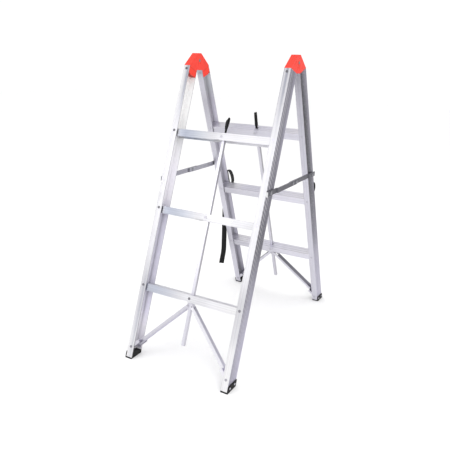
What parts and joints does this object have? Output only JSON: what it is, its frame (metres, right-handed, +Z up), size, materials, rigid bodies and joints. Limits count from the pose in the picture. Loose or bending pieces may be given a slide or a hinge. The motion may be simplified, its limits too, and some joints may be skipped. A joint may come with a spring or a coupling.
{
  "type": "trestle ladder",
  "caption": "Folding aluminium trestle ladder: rung frames hinged under red caps, side spreaders, and rungs that break upward at the middle so each frame also closes sideways.",
  "frame": {"origin": "centre of the footprint on the floor", "axes": "+X along the rungs to the right, +Y from the front frame to the rear frame, +Z up"},
  "size_m": [0.4915, 0.9418, 1.1305],
  "materials": {
    "aluminium": "satin",
    "cap_plastic": "satin",
    "foot_rubber": "matte",
    "fastener_steel": "satin",
    "spreader_steel": "satin",
    "webbing": "woven"
  },
  "bodies": {
    "front_left_leg": {"front_left_stile": "aluminium", "front_left_foot": "foot_rubber", "front_left_hinge_half": "cap_plastic", "front_left_rivets": "fastener_steel", "left_hinge_pin": "fastener_steel", "left_spreader_front_rivet": "fastener_steel"},
    "front_right_leg": {"front_right_stile": "aluminium", "front_right_foot": "foot_rubber", "front_right_hinge_half": "cap_plastic", "front_right_rivets": "fastener_steel", "right_hinge_pin": "fastener_steel", "right_spreader_front_rivet": "fastener_steel"},
    "rear_left_leg": {"rear_left_stile": "aluminium", "rear_left_foot": "foot_rubber", "rear_left_hinge_half": "cap_plastic", "rear_left_rivets": "fastener_steel", "left_strap_loop": "webbing", "left_strap_tail": "webbing"},
    "rear_right_leg": {"rear_right_stile": "aluminium", "rear_right_foot": "foot_rubber", "rear_right_hinge_half": "cap_plastic", "rear_right_rivets": "fastener_steel", "right_strap_loop": "webbing"},
    "front_left_top_half": {"front_left_rung_top": "aluminium"},
    "front_left_mid_half": {"front_left_rung_mid": "aluminium"},
    "front_left_low_half": {"front_left_rung_low": "aluminium"},
    "front_left_brace_link": {"front_left_brace": "aluminium", "front_left_brace_rivets": "fastener_steel"},
    "front_right_top_half": {"front_right_rung_top": "aluminium"},
    "front_right_mid_half": {"front_right_rung_mid": "aluminium"},
    "front_right_low_half": {"front_right_rung_low": "aluminium"},
    "front_right_brace_link": {"front_right_brace": "aluminium", "front_right_brace_rivets": "fastener_steel"},
    "front_middle_rod": {"front_rod": "aluminium", "front_middle_pins": "fastener_steel", "front_pull_loop": "webbing"},
    "front_slide_block": {"front_slider": "aluminium"},
    "rear_left_top_half": {"rear_left_rung_top": "aluminium"},
    "rear_left_mid_half": {"rear_left_rung_mid": "aluminium"},
    "rear_left_low_half": {"rear_left_rung_low": "aluminium"},
    "rear_left_brace_link": {"rear_left_brace": "aluminium", "rear_left_brace_rivets": "fastener_steel"},
    "rear_right_top_half": {"rear_right_rung_top": "aluminium"},
    "rear_right_mid_half": {"rear_right_rung_mid": "aluminium"},
    "rear_right_low_half": {"rear_right_rung_low": "aluminium"},
    "rear_right_brace_link": {"rear_right_brace": "aluminium", "rear_right_brace_rivets": "fastener_steel"},
    "rear_middle_rod": {"rear_rod": "aluminium", "rear_middle_pins": "fastener_steel", "rear_pull_loop": "webbing"},
    "rear_slide_block": {"rear_slider": "aluminium"},
    "left_front_link": {"left_spreader_front": "spreader_steel", "left_knee_rivets": "fastener_steel"},
    "left_rear_link": {"left_spreader_rear": "spreader_steel", "left_spreader_rear_rivet": "fastener_steel"},
    "right_front_link": {"right_spreader_front": "spreader_steel", "right_knee_rivets": "fastener_steel"},
    "right_rear_link": {"right_spreader_rear": "spreader_steel", "right_spreader_rear_rivet": "fastener_steel"}
  },
  "joints": [
    {"name": "rung_fold", "type": "hinge", "parent": "front_left_leg", "child": "front_left_top_half", "pos_m": [-0.21175, -0.13246, 0.83425], "axis": [0, -0.9379, 0.3469], "range_deg": [0, 87.7], "deforming": ["front_pull_loop", "rear_pull_loop", "left_strap_loop"]},
    {"name": "front_top_middle", "type": "hinge", "parent": "front_left_top_half", "child": "front_right_top_half", "pos_m": [0, -0.13446, 0.82886], "axis": [0, -0.9379, 0.3469], "range_deg": [-175.4, 0]},
    {"name": "front_right_end", "type": "hinge", "parent": "front_right_top_half", "child": "front_right_leg", "pos_m": [0.21175, -0.13246, 0.83425], "axis": [0, -0.9379, 0.3469], "range_deg": [0, 87.7]},
    {"name": "front_left_mid_end", "type": "hinge", "parent": "front_left_leg", "child": "front_left_mid_half", "pos_m": [-0.21175, -0.23828, 0.5482], "axis": [0, -0.9379, 0.3469], "range_deg": [0, 87.7]},
    {"name": "front_right_mid_end", "type": "hinge", "parent": "front_right_leg", "child": "front_right_mid_half", "pos_m": [0.21175, -0.23828, 0.5482], "axis": [0, -0.9379, 0.3469], "range_deg": [-87.7, 0]},
    {"name": "front_left_low_end", "type": "hinge", "parent": "front_left_leg", "child": "front_left_low_half", "pos_m": [-0.21175, -0.34409, 0.26214], "axis": [0, -0.9379, 0.3469], "range_deg": [0, 87.7]},
    {"name": "front_right_low_end", "type": "hinge", "parent": "front_right_leg", "child": "front_right_low_half", "pos_m": [0.21175, -0.34409, 0.26214], "axis": [0, -0.9379, 0.3469], "range_deg": [-87.7, 0]},
    {"name": "front_rod_turn", "type": "hinge", "parent": "front_left_top_half", "child": "front_middle_rod", "pos_m": [0, -0.13446, 0.82886], "axis": [0, -0.9379, 0.3469], "range_deg": [-87.7, 0]},
    {"name": "front_slide", "type": "slide", "parent": "front_middle_rod", "child": "front_slide_block", "axis": [0, -0.3469, -0.9379], "range_m": [0, 0.13482]},
    {"name": "front_left_brace_foot", "type": "hinge", "parent": "front_left_leg", "child": "front_left_brace_link", "pos_m": [-0.21175, -0.42857, 0.03376], "axis": [0, -0.9379, 0.3469], "range_deg": [0, 43.16]},
    {"name": "front_right_brace_foot", "type": "hinge", "parent": "front_right_leg", "child": "front_right_brace_link", "pos_m": [0.21175, -0.42857, 0.03376], "axis": [0, -0.9379, 0.3469], "range_deg": [-43.16, 0]},
    {"name": "frame_close", "type": "hinge", "parent": "front_left_leg", "child": "rear_left_leg", "pos_m": [-0.21175, 0, 1.10299], "axis": [-1, 0, 0], "range_deg": [0, 40.6]},
    {"name": "right_hinge", "type": "hinge", "parent": "front_right_leg", "child": "rear_right_leg", "pos_m": [0.21175, 0, 1.10299], "axis": [-1, 0, 0], "range_deg": [0, 40.6]},
    {"name": "rear_left_top_end", "type": "hinge", "parent": "rear_left_leg", "child": "rear_left_top_half", "pos_m": [-0.21175, 0.13246, 0.83425], "axis": [0, -0.9379, -0.3469], "range_deg": [0, 87.7]},
    {"name": "rear_right_top_end", "type": "hinge", "parent": "rear_right_leg", "child": "rear_right_top_half", "pos_m": [0.21175, 0.13246, 0.83425], "axis": [0, -0.9379, -0.3469], "range_deg": [-87.7, 0]},
    {"name": "rear_left_mid_end", "type": "hinge", "parent": "rear_left_leg", "child": "rear_left_mid_half", "pos_m": [-0.21175, 0.23828, 0.5482], "axis": [0, -0.9379, -0.3469], "range_deg": [0, 87.7]},
    {"name": "rear_right_mid_end", "type": "hinge", "parent": "rear_right_leg", "child": "rear_right_mid_half", "pos_m": [0.21175, 0.23828, 0.5482], "axis": [0, -0.9379, -0.3469], "range_deg": [-87.7, 0]},
    {"name": "rear_left_low_end", "type": "hinge", "parent": "rear_left_leg", "child": "rear_left_low_half", "pos_m": [-0.21175, 0.34409, 0.26214], "axis": [0, -0.9379, -0.3469], "range_deg": [0, 87.7]},
    {"name": "rear_right_low_end", "type": "hinge", "parent": "rear_right_leg", "child": "rear_right_low_half", "pos_m": [0.21175, 0.34409, 0.26214], "axis": [0, -0.9379, -0.3469], "range_deg": [-87.7, 0]},
    {"name": "rear_rod_turn", "type": "hinge", "parent": "rear_left_top_half", "child": "rear_middle_rod", "pos_m": [0, 0.13446, 0.82886], "axis": [0, -0.9379, -0.3469], "range_deg": [-87.7, 0]},
    {"name": "rear_slide", "type": "slide", "parent": "rear_middle_rod", "child": "rear_slide_block", "axis": [0, 0.3469, -0.9379], "range_m": [0, 0.13482]},
    {"name": "rear_left_brace_foot", "type": "hinge", "parent": "rear_left_leg", "child": "rear_left_brace_link", "pos_m": [-0.21175, 0.42857, 0.03376], "axis": [0, -0.9379, -0.3469], "range_deg": [0, 43.16]},
    {"name": "rear_right_brace_foot", "type": "hinge", "parent": "rear_right_leg", "child": "rear_right_brace_link", "pos_m": [0.21175, 0.42857, 0.03376], "axis": [0, -0.9379, -0.3469], "range_deg": [-43.16, 0]},
    {"name": "left_spreader_end", "type": "hinge", "parent": "front_left_leg", "child": "left_front_link", "pos_m": [-0.225, -0.19581, 0.66299], "axis": [1, 0, 0], "range_deg": [0, 73.71]},
    {"name": "left_spreader_knee", "type": "hinge", "parent": "left_front_link", "child": "left_rear_link", "pos_m": [-0.225, -0.007, 0.66299], "axis": [1, 0, 0], "range_deg": [-162.24, 0]},
    {"name": "right_spreader_end", "type": "hinge", "parent": "front_right_leg", "child": "right_front_link", "pos_m": [0.225, -0.19581, 0.66299], "axis": [1, 0, 0], "range_deg": [0, 73.71]},
    {"name": "right_spreader_knee", "type": "hinge", "parent": "right_front_link", "child": "right_rear_link", "pos_m": [0.225, -0.007, 0.66299], "axis": [1, 0, 0], "range_deg": [-162.24, 0]}
  ],
  "couplings": [
    {"joint": "front_top_middle", "follows": "rung_fold", "ratio": -2},
    {"joint": "front_right_end", "follows": "rung_fold", "ratio": 1},
    {"joint": "front_left_mid_end", "follows": "rung_fold", "ratio": 1},
    {"joint": "front_right_mid_end", "follows": "rung_fold", "ratio": -1},
    {"joint": "front_left_low_end", "follows": "rung_fold", "ratio": 1},
    {"joint": "front_right_low_end", "follows": "rung_fold", "ratio": -1},
    {"joint": "front_rod_turn", "follows": "rung_fold", "ratio": -1},
    {"joint": "front_slide", "follows": "rung_fold", "m_per_rad": 0.088082},
    {"joint": "front_left_brace_foot", "follows": "rung_fold", "ratio": 0.49219},
    {"joint": "front_right_brace_foot", "follows": "rung_fold", "ratio": -0.49219},
    {"joint": "right_hinge", "follows": "frame_close", "ratio": 1},
    {"joint": "rear_left_top_end", "follows": "rung_fold", "ratio": 1},
    {"joint": "rear_right_top_end", "follows": "rung_fold", "ratio": -1},
    {"joint": "rear_left_mid_end", "follows": "rung_fold", "ratio": 1},
    {"joint": "rear_right_mid_end", "follows": "rung_fold", "ratio": -1},
    {"joint": "rear_left_low_end", "follows": "rung_fold", "ratio": 1},
    {"joint": "rear_right_low_end", "follows": "rung_fold", "ratio": -1},
    {"joint": "rear_rod_turn", "follows": "rung_fold", "ratio": -1},
    {"joint": "rear_slide", "follows": "rung_fold", "m_per_rad": 0.088082},
    {"joint": "rear_left_brace_foot", "follows": "rung_fold", "ratio": 0.49219},
    {"joint": "rear_right_brace_foot", "follows": "rung_fold", "ratio": -0.49219},
    {"joint": "left_spreader_end", "follows": "frame_close", "ratio": 1.8156},
    {"joint": "left_spreader_knee", "follows": "frame_close", "ratio": -3.9962},
    {"joint": "right_spreader_end", "follows": "frame_close", "ratio": 1.8156},
    {"joint": "right_spreader_knee", "follows": "frame_close", "ratio": -3.9962}
  ]
}
